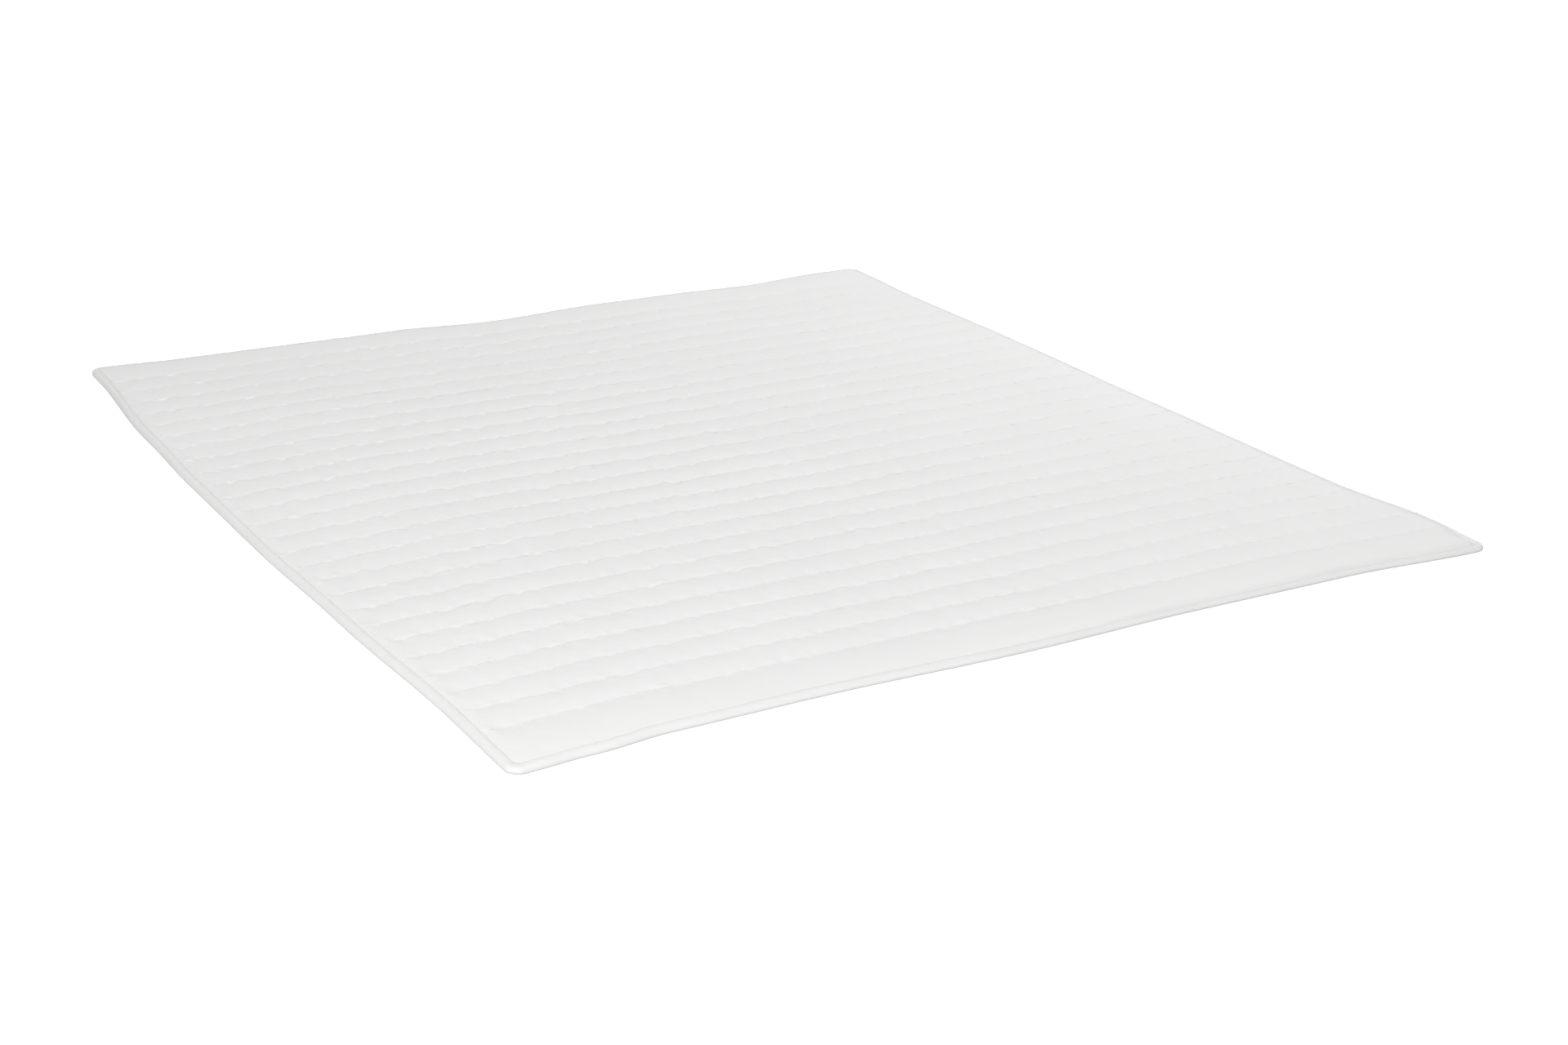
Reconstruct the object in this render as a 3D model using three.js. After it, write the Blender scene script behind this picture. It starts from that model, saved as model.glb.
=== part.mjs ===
// A quilted mattress pad, laid out flat on a floor. It is one filled panel, sewn in
// straight channels from side to side, and a folded tape bound round its edge.
// Millimetres, +Z up. X runs across the pad along its front edge, Y runs along its
// length from front to back, and the floor is at Z = 0.
import * as THREE from "three";

// Size of the whole pad, over the binding
const WIDTH = 1800;
const LENGTH = 2000;
const CORNER_RADIUS = 24;

// Quilting: seams run across the pad, with a plain band before the first and after the last
const SEAM_COUNT = 26;
const FIRST_SEAM = 111; // from the front edge
const SEAM_PITCH = 71.5;
const CROWN_TOP = 14; // height of the middle of a channel
const SEAM_TOP = 7; // height of the cloth drawn down by a seam
const SEAM_UNDER = 2.4; // how far a seam lifts the underside off the floor
const CROWN_UNEVENNESS = 0.8;
const CHANNEL_STEPS = [0.2, 0.5, 0.8]; // rows of a channel, as shares of the pitch

// The panel's rim, from its cut edge inwards. The rows up to the lip lie in the fold of the
// tape, then comes the groove that the binding's stitching draws in.
const RIM = [
  { name: "cut edge", inset: 1.6, under: 3.5, top: 6.4 },
  { name: "edge shoulder", inset: 3.4, under: 1.6, top: 8.4 },
  { name: "lip", inset: 14, under: 1.6, top: 7 },
  { name: "groove", inset: 18, under: 0.8, top: 7.2 },
  { name: "rise", inset: 24, under: 0, top: 10.6 },
  { name: "full height", inset: 36, under: 0, top: CROWN_TOP },
];
const GROOVE_INSET = 18;
const GROOVE_EASING = 2; // the groove is this much shallower at the left side of the pad

// The folded tape in section: outside round to the lower lip, then back inside the fold
const TAPE_SECTION = [
  { inset: 14, height: 8.6 },
  { inset: 4.6, height: 10 },
  { inset: 1.2, height: 8.6 },
  { inset: 0, height: 6 },
  { inset: 0, height: 3.4 },
  { inset: 1, height: 1 },
  { inset: 3, height: 0 },
  { inset: 14, height: 0 },
  { inset: 14, height: 1.2 },
  { inset: 3.2, height: 1.2 },
  { inset: 1.2, height: 3.3 },
  { inset: 1.2, height: 6.6 },
  { inset: 3.2, height: 8.8 },
  { inset: 14, height: 7.4 },
];

// How far each side of the laid-out pad swings out from a straight line
const FRONT_BOW = [
  { along: -890, out: 20 },
  { along: -770, out: 11 },
  { along: -640, out: -2 },
  { along: -380, out: -6 },
  { along: -40, out: 2 },
  { along: 280, out: -6 },
  { along: 600, out: -4 },
  { along: 880, out: 14 },
];
const BACK_BOW = [
  { along: -880, out: 23 },
  { along: -700, out: 10 },
  { along: -250, out: 4 },
  { along: -40, out: -20 },
  { along: 220, out: 1 },
  { along: 420, out: 0 },
  { along: 590, out: -11 },
  { along: 790, out: 11 },
];
const LEFT_BOW = [
  { along: -980, out: -12 },
  { along: -810, out: -13 },
  { along: -400, out: 0 },
  { along: -50, out: 8 },
  { along: 300, out: 7 },
  { along: 570, out: 0 },
  { along: 990, out: -25 },
];
const RIGHT_BOW = [
  { along: -980, out: 11 },
  { along: -850, out: 16 },
  { along: -630, out: -6 },
  { along: -100, out: -2 },
  { along: 400, out: 6 },
  { along: 740, out: 3 },
  { along: 990, out: 12 },
];

// How far the seams stray from straight lines, towards the back of the pad: the first
// seam, and those from a share of the length on. Between them the sway changes evenly.
const FIRST_SEAM_SWAY = [
  { along: -900, out: 19 },
  { along: -750, out: 15 },
  { along: -600, out: 8 },
  { along: -300, out: 4 },
  { along: -150, out: 9 },
  { along: 0, out: 10 },
  { along: 100, out: 1 },
  { along: 350, out: -2 },
  { along: 500, out: 1 },
  { along: 850, out: -9 },
];
const FAR_SEAM_SWAY = [
  { along: -900, out: -22 },
  { along: -750, out: -8 },
  { along: -600, out: 0 },
  { along: -300, out: -4 },
  { along: -150, out: 0 },
  { along: 0, out: 6 },
  { along: 100, out: -8 },
  { along: 350, out: -9 },
  { along: 500, out: -11 },
  { along: 850, out: -18 },
];
const FAR_SWAY_FROM = 0.45;

const COLUMN_GAPS = 11; // stretches between the rims of the two sides
const SEAMS_PER_TAPE_STEP = 2; // the tape bends at every second seam along the sides

const cotton = new THREE.MeshStandardMaterial({
  color: 0xf2f2f1,
  roughness: 0.92,
  metalness: 0,
});
const tape = new THREE.MeshStandardMaterial({
  color: 0xf4f3f2,
  roughness: 0.85,
  metalness: 0,
});

// A value between the rows of a table, with soft turns
function smoothFrom(table, position) {
  const next = table.findIndex((row) => row.along > position);
  if (next === 0) return table[0].out;
  if (next < 0) return table[table.length - 1].out;
  const before = table[next - 1];
  const after = table[next];
  const share = THREE.MathUtils.smoothstep(position, before.along, after.along);
  return THREE.MathUtils.lerp(before.out, after.out, share);
}

// The same table as straight stretches between stations, which the panel and the tape share
function straightened(table, stations) {
  const values = stations.map((station) => smoothFrom(table, station));
  return (position) => {
    const last = stations.length - 1;
    const found = stations.findIndex((station) => station > position);
    const next = found < 0 ? last : Math.max(found, 1);
    const from = stations[next - 1];
    const share = THREE.MathUtils.clamp((position - from) / (stations[next] - from), 0, 1);
    return THREE.MathUtils.lerp(values[next - 1], values[next], share);
  };
}

const HALF_WIDTH = WIDTH / 2;
const HALF_LENGTH = LENGTH / 2;
const FULL_INSET = RIM[RIM.length - 1].inset;
const rimInsets = RIM.map((row) => row.inset);
const seamRows = Array.from(
  { length: SEAM_COUNT },
  (_, seam) => FIRST_SEAM - HALF_LENGTH + seam * SEAM_PITCH,
);
const LAST_SEAM_ROW = seamRows[SEAM_COUNT - 1];

// Columns of the panel's grid, across the pad, and its rows, along the pad
const middleColumns = Array.from({ length: COLUMN_GAPS - 1 }, (_, column) =>
  THREE.MathUtils.lerp(
    FULL_INSET - HALF_WIDTH,
    HALF_WIDTH - FULL_INSET,
    (column + 1) / COLUMN_GAPS,
  ),
);
const columns = [
  ...rimInsets.map((inset) => inset - HALF_WIDTH),
  ...middleColumns,
  ...rimInsets.map((inset) => HALF_WIDTH - inset).reverse(),
];
const channelRows = seamRows.flatMap((row, seam) => {
  const inChannel = CHANNEL_STEPS.map((share) => row + share * SEAM_PITCH);
  const isLast = seam === SEAM_COUNT - 1;
  return [row, ...(isLast ? inChannel.slice(0, 2) : inChannel)];
});
const beforeFirstSeam = CHANNEL_STEPS.slice(0, 2)
  .map((share) => seamRows[0] - share * SEAM_PITCH)
  .reverse();
const rows = [
  ...rimInsets.map((inset) => inset - HALF_LENGTH),
  ...beforeFirstSeam,
  ...channelRows,
  ...rimInsets.map((inset) => HALF_LENGTH - inset).reverse(),
];

// Where the tape bends along each pair of sides
const acrossStations = [-HALF_WIDTH + FULL_INSET, ...middleColumns, HALF_WIDTH - FULL_INSET];
const alongStations = [
  -HALF_LENGTH + FULL_INSET,
  ...seamRows.filter((_, seam) => seam % SEAMS_PER_TAPE_STEP === 0),
  HALF_LENGTH - FULL_INSET,
];
const frontBow = straightened(FRONT_BOW, acrossStations);
const backBow = straightened(BACK_BOW, acrossStations);
const leftBow = straightened(LEFT_BOW, alongStations);
const rightBow = straightened(RIGHT_BOW, alongStations);

function seamSway(x, y) {
  const share = (y + HALF_LENGTH) / LENGTH / FAR_SWAY_FROM;
  const changed = THREE.MathUtils.clamp(share, 0, 1);
  const near = smoothFrom(FIRST_SEAM_SWAY, x);
  const sway = THREE.MathUtils.lerp(near, smoothFrom(FAR_SEAM_SWAY, x), changed);
  const rim = HALF_LENGTH - FULL_INSET;
  const beginning = THREE.MathUtils.clamp((rim + y) / (rim + seamRows[0]), 0, 1);
  const ending = THREE.MathUtils.clamp((rim - y) / (rim - LAST_SEAM_ROW), 0, 1);
  return sway * beginning * ending;
}

// Rounds the corners of the plain rectangle: nested squares become nested arcs
function rounded(x, y) {
  const centreX = Math.sign(x) * (HALF_WIDTH - CORNER_RADIUS);
  const centreY = Math.sign(y) * (HALF_LENGTH - CORNER_RADIUS);
  const dx = x - centreX;
  const dy = y - centreY;
  if (dx * Math.sign(x) <= 0 || dy * Math.sign(y) <= 0) return [x, y];
  const shrink = Math.max(Math.abs(dx), Math.abs(dy)) / Math.hypot(dx, dy);
  return [centreX + dx * shrink, centreY + dy * shrink];
}

// A place on the plain rectangle, moved to where it lies on the real pad
function laidOut(x, y) {
  const [roundX, roundY] = rounded(x, y);
  const right = (roundX + HALF_WIDTH) / WIDTH;
  const back = (roundY + HALF_LENGTH) / LENGTH;
  const swingX = rightBow(roundY) * right - leftBow(roundY) * (1 - right);
  const swingY = backBow(roundX) * back - frontBow(roundX) * (1 - back);
  return [roundX + swingX, roundY + swingY + seamSway(roundX, roundY)];
}

// Height of the rim's upper or lower face at a distance from the pad's outline
function rimHeight(face, inset) {
  const next = RIM.findIndex((row) => row.inset >= inset - 1e-6);
  if (next < 0) return RIM[RIM.length - 1][face];
  if (next === 0) return RIM[0][face];
  const before = RIM[next - 1];
  const share = (inset - before.inset) / (RIM[next].inset - before.inset);
  return THREE.MathUtils.lerp(before[face], RIM[next][face], share);
}

// How far a row is from the nearest seam, from 0 on a seam to 1 in the middle of a channel
function fromSeam(y) {
  const seam = Math.round((y - seamRows[0]) / SEAM_PITCH);
  const nearest = seamRows[THREE.MathUtils.clamp(seam, 0, SEAM_COUNT - 1)];
  return Math.min(1, Math.abs(y - nearest) / (SEAM_PITCH / 2));
}

function topHeight(x, y, inset) {
  const swell = Math.sin((fromSeam(y) * Math.PI) / 2) ** 0.8;
  const uneven = CROWN_UNEVENNESS * Math.sin(x / 190 + y / 130) * Math.sin(y / 310 - 0.7);
  const quilted = SEAM_TOP + (CROWN_TOP + uneven - SEAM_TOP) * swell;
  const leftness = (HALF_WIDTH - x) / WIDTH;
  const easing = inset === GROOVE_INSET ? GROOVE_EASING * leftness : 0;
  return Math.min(quilted, rimHeight("top", inset) + easing);
}

function underHeight(y, inset) {
  const drawnUp = Math.max(0, 1 - fromSeam(y) / CHANNEL_STEPS[0]);
  return Math.max(SEAM_UNDER * drawnUp, rimHeight("under", inset));
}

function panelPoint(x, y, face) {
  const inset = Math.min(HALF_WIDTH - Math.abs(x), HALF_LENGTH - Math.abs(y));
  const nearRow = rimInsets.find((rim) => Math.abs(rim - inset) < 1e-6) ?? inset;
  const height = face === "top" ? topHeight(x, y, nearRow) : underHeight(y, nearRow);
  return [...laidOut(x, y), height];
}

function geometryOf(points, faces) {
  const geometry = new THREE.BufferGeometry();
  geometry.setAttribute("position", new THREE.Float32BufferAttribute(points.flat(), 3));
  geometry.setIndex(faces.flat());
  geometry.computeVertexNormals();
  return geometry;
}

// Two faces of cloth on one grid, closed by a wall along the cut edge
function quiltedPanel() {
  const points = ["under", "top"].flatMap((face) =>
    rows.flatMap((y) => columns.map((x) => panelPoint(x, y, face))),
  );
  const onTop = rows.length * columns.length;
  const at = (row, column) => row * columns.length + column;
  const faces = [];
  for (let row = 0; row < rows.length - 1; row++)
    for (let column = 0; column < columns.length - 1; column++) {
      const a = at(row, column);
      const b = at(row, column + 1);
      const c = at(row + 1, column + 1);
      const d = at(row + 1, column);
      faces.push([onTop + a, onTop + b, onTop + c], [onTop + a, onTop + c, onTop + d]);
      faces.push([a, c, b], [a, d, c]);
    }
  const lastRow = rows.length - 1;
  const lastColumn = columns.length - 1;
  const edge = [
    ...columns.slice(1).map((_, step) => at(0, step)),
    ...rows.slice(1).map((_, step) => at(step, lastColumn)),
    ...columns.slice(1).map((_, step) => at(lastRow, lastColumn - step)),
    ...rows.slice(1).map((_, step) => at(lastRow - step, 0)),
  ];
  edge.forEach((a, step) => {
    const b = edge[(step + 1) % edge.length];
    faces.push([a, b, onTop + b], [a, onTop + b, onTop + a]);
  });
  return geometryOf(points, faces);
}

// The stations of the tape round the pad, each a place on the panel's cut edge
function tapeStations() {
  const edgeX = HALF_WIDTH - rimInsets[0];
  const edgeY = HALF_LENGTH - rimInsets[0];
  const withRims = (half, stations) => [
    ...rimInsets.slice(0, -1).map((inset) => inset - half),
    ...stations,
    ...rimInsets.slice(0, -1).map((inset) => half - inset).reverse(),
  ];
  const across = withRims(HALF_WIDTH, acrossStations);
  const along = withRims(HALF_LENGTH, alongStations);
  return [
    ...across.slice(0, -1).map((x) => [x, -edgeY]),
    ...along.slice(0, -1).map((y) => [edgeX, y]),
    ...across.slice(1).reverse().map((x) => [x, edgeY]),
    ...along.slice(1).reverse().map((y) => [-edgeX, y]),
  ];
}

// A point of the tape's section at one station, which turns with the corner's arc
function tapePoint([x, y], { inset, height }) {
  const centreX = Math.sign(x) * (HALF_WIDTH - CORNER_RADIUS);
  const centreY = Math.sign(y) * (HALF_LENGTH - CORNER_RADIUS);
  const edge = rimInsets[0];
  const scale = (CORNER_RADIUS - inset) / (CORNER_RADIUS - edge);
  const outX = (x - centreX) * Math.sign(x);
  const outY = (y - centreY) * Math.sign(y);
  const placedX = outX > 0 ? centreX + (x - centreX) * scale : x;
  const placedY = outY > 0 ? centreY + (y - centreY) * scale : y;
  return [...laidOut(placedX, placedY), height];
}

function edgeBinding() {
  const stations = tapeStations();
  const points = stations.flatMap((station) =>
    TAPE_SECTION.map((corner) => tapePoint(station, corner)),
  );
  const around = TAPE_SECTION.length;
  const faces = [];
  stations.forEach((_, station) => {
    const here = station * around;
    const there = ((station + 1) % stations.length) * around;
    for (let corner = 0; corner < around; corner++) {
      const next = (corner + 1) % around;
      faces.push([here + corner, here + next, there + next]);
      faces.push([here + corner, there + next, there + corner]);
    }
  });
  return geometryOf(points, faces);
}

function named(name, geometry, material) {
  const mesh = new THREE.Mesh(geometry, material);
  mesh.name = name;
  return mesh;
}

const pad = new THREE.Group();
pad.add(named("quilted_panel", quiltedPanel(), cotton));
pad.add(named("edge_binding", edgeBinding(), tape));

// The origin is the middle of the pad's box, on the floor
const middle = new THREE.Box3().setFromObject(pad).getCenter(new THREE.Vector3());
pad.position.set(-middle.x, -middle.y, 0);

export default pad;
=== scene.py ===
"""A mattress pad, quilted in straight channels and bound round its edge, laid out flat.

Metres, +Z up. X runs across the pad along its front edge, Y runs from the front edge to
the back edge, and the pad lies on the floor at Z = 0.
"""

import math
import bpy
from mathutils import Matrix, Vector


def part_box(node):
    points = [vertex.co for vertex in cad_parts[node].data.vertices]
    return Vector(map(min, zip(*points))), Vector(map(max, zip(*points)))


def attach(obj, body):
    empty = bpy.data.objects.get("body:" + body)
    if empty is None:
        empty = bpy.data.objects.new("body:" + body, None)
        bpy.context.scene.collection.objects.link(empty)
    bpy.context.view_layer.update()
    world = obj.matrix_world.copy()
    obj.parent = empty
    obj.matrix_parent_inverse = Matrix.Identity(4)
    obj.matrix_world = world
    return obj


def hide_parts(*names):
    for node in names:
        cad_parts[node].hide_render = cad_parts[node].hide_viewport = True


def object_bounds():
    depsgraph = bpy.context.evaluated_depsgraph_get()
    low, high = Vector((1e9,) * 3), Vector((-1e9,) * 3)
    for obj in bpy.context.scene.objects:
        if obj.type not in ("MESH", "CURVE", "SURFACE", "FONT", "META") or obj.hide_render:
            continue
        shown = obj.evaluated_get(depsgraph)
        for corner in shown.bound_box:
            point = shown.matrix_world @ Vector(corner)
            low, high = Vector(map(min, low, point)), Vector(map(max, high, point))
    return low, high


bl_info = {
    "name": "Quilted mattress pad",
    "version": (1, 0, 0),
    "blender": (4, 5, 0),
    "location": "View3D > Sidebar > Mattress Pad",
    "description": "Makes a laid-out, channel-quilted mattress pad with a bound edge",
    "category": "Mesh",
}

import bpy
import numpy as np
from mathutils import Quaternion, Vector

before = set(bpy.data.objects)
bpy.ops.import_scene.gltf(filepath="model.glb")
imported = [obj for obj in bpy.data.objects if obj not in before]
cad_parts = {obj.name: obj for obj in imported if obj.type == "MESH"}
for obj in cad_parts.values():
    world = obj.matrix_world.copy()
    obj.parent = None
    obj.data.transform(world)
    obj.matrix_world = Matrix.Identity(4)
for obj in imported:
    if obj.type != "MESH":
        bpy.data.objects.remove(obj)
CAD_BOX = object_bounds()
PANEL_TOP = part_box("quilted_panel")[1].z
SEAM_SHARE = 0.77  # of the panel's height, to which a seam draws the face cloth down

# How far each side of the laid-out pad swings out from a straight line. Each row is a
# place along the side and the swing there.
FRONT_BOW = (
    (-0.890, 0.020),
    (-0.770, 0.011),
    (-0.640, -0.002),
    (-0.380, -0.006),
    (-0.040, 0.002),
    (0.280, -0.006),
    (0.600, -0.004),
    (0.880, 0.014),
)
BACK_BOW = (
    (-0.880, 0.023),
    (-0.700, 0.010),
    (-0.250, 0.004),
    (-0.040, -0.020),
    (0.220, 0.001),
    (0.420, 0.000),
    (0.590, -0.011),
    (0.790, 0.011),
)
LEFT_BOW = (
    (-0.980, -0.012),
    (-0.810, -0.013),
    (-0.400, 0.000),
    (-0.050, 0.008),
    (0.300, 0.007),
    (0.570, 0.000),
    (0.990, -0.025),
)
RIGHT_BOW = (
    (-0.980, 0.011),
    (-0.850, 0.016),
    (-0.630, -0.006),
    (-0.100, -0.002),
    (0.400, 0.006),
    (0.740, 0.003),
    (0.990, 0.012),
)

# How far the seams stray towards the back: a place along them, how far the first seam
# strays there, and how far the seams further back do.
SEAM_SWAY = (
    (-0.900, 0.019, -0.022),
    (-0.750, 0.015, -0.008),
    (-0.600, 0.008, 0.000),
    (-0.450, 0.005, -0.001),
    (-0.300, 0.004, -0.004),
    (-0.150, 0.009, 0.000),
    (0.000, 0.010, 0.006),
    (0.100, 0.001, -0.008),
    (0.200, 0.000, -0.012),
    (0.350, -0.002, -0.009),
    (0.500, 0.001, -0.011),
    (0.650, -0.006, -0.010),
    (0.850, -0.009, -0.018),
)
FAR_SWAY_FROM = 0.45  # share of the length from which on the seams stray as further back
SWAY_ENDS = 0.036  # from the front edge and the back edge

# The panel's rim, from its cut edge inwards: inset, height of the backing, height of the
# face cloth where the edge is soft, and where the binding's stitching draws a groove.
RIM = (
    (0.0016, 0.0035, 0.0070, 0.0060),
    (0.0040, 0.0018, 0.0095, 0.0074),
    (0.0085, 0.0016, 0.0108, 0.0072),
    (0.0140, 0.0016, 0.0112, 0.0058),
    (0.0143, 0.0014, 0.0121, 0.0057),
    (0.0176, 0.0008, 0.0124, 0.0052),
    (0.0193, 0.0004, 0.0127, 0.0090),
    (0.0216, 0.0002, 0.0130, 0.0118),
    (0.0252, 0.0000, 0.0133, 0.0131),
    (0.0300, 0.0000, 0.0136, 0.0135),
    (0.0360, 0.0000, 0.0138, 0.0137),
)
RIM_ENDS = RIM[-1][0]
RIM_FADES = 0.012  # the rim turns into the channels over this width
ON_LINE = 1e-4  # nearer than this, a point lies on a line
HELD_BY_TAPE = 0.0165  # the rim up to this inset doesn't swell
SEAMS_END = 0.0150  # the seams run on under the tape, where no stitch shows
SEAMS_FLATTEN = 0.0480  # inside this inset from the sides the seams have their full depth
LEAST_DEPTH = 0.12  # share of the depth that is left at the tape

# How much of the groove shows along the front edge and up the right edge. The other two
# edges are soft. Each row is a place along the edge and the share there.
FRONT_GROOVE = (
    (-0.50, 0.00),
    (-0.25, 0.15),
    (0.05, 0.50),
    (0.30, 1.00),
)
RIGHT_GROOVE = (
    (-0.98, 1.00),
    (-0.88, 0.00),
)

# Rows of a channel, close together at its two seams, as shares of the pitch
CHANNEL_ROWS = (0.03, 0.09, 0.19, 0.34, 0.50, 0.66, 0.81, 0.91, 0.97)
BAND_STEP = 0.0135  # between the rows of the plain bands at the front and the back
COLUMN_STEP = 0.0079
CREASE_DEPTH = 0.0005  # how far the thread draws the cloth in, below the channels' arcs
CREASE_REACH = 0.0042
CROWN_UNEVENNESS = 0.0008
CROWN_WAVES = (0.19, 0.13, 0.31)  # across, up the pad, and slowly up the pad
CROWN_TURN = 0.7

# How much the seams shape the face cloth, as shares at places along a seam and up the pad
DRAWN_DOWN = (
    (-0.80, 0.90),
    (-0.45, 1.00),
    (-0.05, 1.25),
    (0.25, 1.05),
    (0.55, 0.88),
    (0.80, 0.72),
)
DRAWN_UP_THE_PAD = (
    (-0.90, 0.93),
    (-0.30, 1.05),
    (0.30, 1.05),
    (0.75, 0.72),
)
PUCKERED = (
    (-0.80, 0.65),
    (-0.30, 1.10),
    (0.30, 1.10),
    (0.80, 0.90),
)
PUFF_HEIGHT = 0.0013  # of the fuller places beside the seams
PUFF_LENGTHS = (0.025, 0.090)  # along the seams
PUFFS_FROM = 0.06  # they rise from this share of half a channel, and fade up to the next
PUFFS_END = 0.70
PUFFS_INSET = 0.010  # inside the tape they rise over this width

NEEDLE_WANDER = 0.0015  # how far a seam strays from its line
NEEDLE_WAVES = (0.061, 0.023)
BACKING_DRAWN = 0.30  # share of half a channel over which a seam lifts the backing
BACKING_PUCKER = 0.22  # share of that lift
BACKING_WAVES = (0.0075, 0.0042)
BACKING_FLAT = 0.50  # from this share on the backing needs no rows

# The folded tape in section, from the upper lip over the roll to the lower lip: inset,
# height where the edge is soft, height where it is grooved. A row of stitching draws it
# in near each lip.
TAPE_LINE = (
    (0.0142, 0.0121, 0.0067),
    (0.0134, 0.0121, 0.0070),
    (0.0122, 0.0121, 0.0070),
    (0.0106, 0.0120, 0.0077),
    (0.0082, 0.0118, 0.0084),
    (0.0056, 0.0114, 0.0088),
    (0.0032, 0.0103, 0.0086),
    (0.0013, 0.0085, 0.0075),
    (0.0002, 0.0056, 0.0057),
    (0.0000, 0.0035, 0.0041),
    (0.0003, 0.0019, 0.0025),
    (0.0013, 0.0007, 0.0010),
    (0.0030, 0.0002, 0.0002),
    (0.0060, 0.0000, 0.0000),
    (0.0095, 0.0000, 0.0000),
    (0.0122, 0.0004, 0.0004),
    (0.0142, 0.0001, 0.0001),
)
UPPER_STITCHING = 2  # rows of the tape's section
LOWER_STITCHING = 15
TAPE_STEP = 0.0052  # between the stations of the tape along the sides
CORNER_STEPS = 14
TAPE_PUCKERS = 0.00025  # height of the tape's short waves
TAPE_PUCKER_LENGTHS = (0.011, 0.05)
TAPE_SLACK = 0.0002  # height of its long waves
TAPE_SLACK_LENGTHS = (0.06, 0.4)
TAPE_WAVES_FROM = 0.007  # from this height on, over TAPE_WAVES_RISE, the tape waves
TAPE_WAVES_RISE = 0.003

YARN_PITCH = 0.0011  # of the cotton's plain weave
RIB_PITCH = 0.0013  # of the tape's twill
STITCH_SHARE = 0.8  # of the pitch; the rest is the gap between two stitches
LEAST_PULL = (0.9, 0.9, 0.92)  # least size of a stitch, across twice and along
MOST_PULL = (1.1, 1.1, 1.06)

SEED = 4
HELPERS = ("column", "row", "backing")


class PadSizes(bpy.types.PropertyGroup):
    """Sizes of the pad as it is cut and sewn"""

    width: bpy.props.FloatProperty(
        name="Width",
        description="From side to side over the binding, along the seams",
        default=1.8,
        unit="LENGTH",
    )
    length: bpy.props.FloatProperty(
        name="Length",
        description="From the front edge to the back edge over the binding",
        default=2.0,
        unit="LENGTH",
    )
    corner_radius: bpy.props.FloatProperty(
        name="Corner radius",
        description="Radius of the bound edge at the corners",
        default=0.024,
        unit="LENGTH",
    )
    seam_count: bpy.props.IntProperty(
        name="Seams",
        description="Quilting seams that run across the pad",
        default=26,
        min=2,
    )
    first_seam: bpy.props.FloatProperty(
        name="First seam",
        description="Plain band between the front edge and the first seam",
        default=0.111,
        unit="LENGTH",
    )
    seam_pitch: bpy.props.FloatProperty(
        name="Seam pitch",
        description="From one quilting seam to the next",
        default=0.0715,
        unit="LENGTH",
    )
    crown_top: bpy.props.FloatProperty(
        name="Crown height",
        description="Height of the middle of a channel",
        default=PANEL_TOP,
        unit="LENGTH",
    )
    seam_top: bpy.props.FloatProperty(
        name="Seam height",
        description="Height to which a seam draws the face cloth down",
        default=PANEL_TOP * SEAM_SHARE,
        unit="LENGTH",
    )
    seam_under: bpy.props.FloatProperty(
        name="Seam lift",
        description="How far a seam lifts the backing off the floor",
        default=0.0024,
        unit="LENGTH",
    )
    tape_thickness: bpy.props.FloatProperty(
        name="Tape thickness",
        description="Thickness of the binding tape",
        default=0.0008,
        unit="LENGTH",
    )
    stitch_pitch: bpy.props.FloatProperty(
        name="Stitch pitch",
        description="Length of one quilting stitch with the gap after it",
        default=0.0045,
        unit="LENGTH",
    )
    binding_stitch_pitch: bpy.props.FloatProperty(
        name="Binding stitch pitch",
        description="Length of one binding stitch with the gap after it",
        default=0.0038,
        unit="LENGTH",
    )
    thread_width: bpy.props.FloatProperty(
        name="Thread width",
        description="Thickness of the sewing thread",
        default=0.0005,
        unit="LENGTH",
    )


class PadSwelling(bpy.types.PropertyGroup):
    """How the wadding and the needle shape the face cloth"""

    pressure: bpy.props.FloatProperty(
        name="Pressure",
        description="How hard the wadding presses the face cloth outwards",
        default=1.5,
        min=0.0,
    )
    ease: bpy.props.FloatProperty(
        name="Ease",
        description="Extra cloth taken up along a seam, which puckers there",
        default=0.026,
        min=0.0,
        subtype="FACTOR",
    )
    ease_reach: bpy.props.FloatProperty(
        name="Ease reach",
        description="Share of half a channel over which the extra cloth fades out",
        default=0.4,
        min=0.05,
        subtype="FACTOR",
    )
    stiffness: bpy.props.FloatProperty(
        name="Bending stiffness",
        description="How far the face cloth resists small creases",
        default=2.0,
        min=0.0,
    )
    most_rise: bpy.props.FloatProperty(
        name="Most rise",
        description="The furthest that a point of the cloth may move",
        default=0.0014,
        unit="LENGTH",
    )
    steps: bpy.props.IntProperty(
        name="Steps",
        description="Steps of the cloth simulation",
        default=14,
        min=1,
    )


class PadColours(bpy.types.PropertyGroup):
    """Colours of the cloth, the tape and the thread"""

    cotton: bpy.props.FloatVectorProperty(
        name="Cotton",
        description="Colour of the brushed face cloth",
        default=(0.810, 0.809, 0.806),
        size=3,
        min=0.0,
        max=1.0,
        subtype="COLOR",
    )
    tape: bpy.props.FloatVectorProperty(
        name="Tape",
        description="Colour of the binding tape",
        default=(0.800, 0.797, 0.793),
        size=3,
        min=0.0,
        max=1.0,
        subtype="COLOR",
    )
    thread: bpy.props.FloatVectorProperty(
        name="Thread",
        description="Colour of the sewing thread",
        default=(0.840, 0.840, 0.838),
        size=3,
        min=0.0,
        max=1.0,
        subtype="COLOR",
    )


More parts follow.
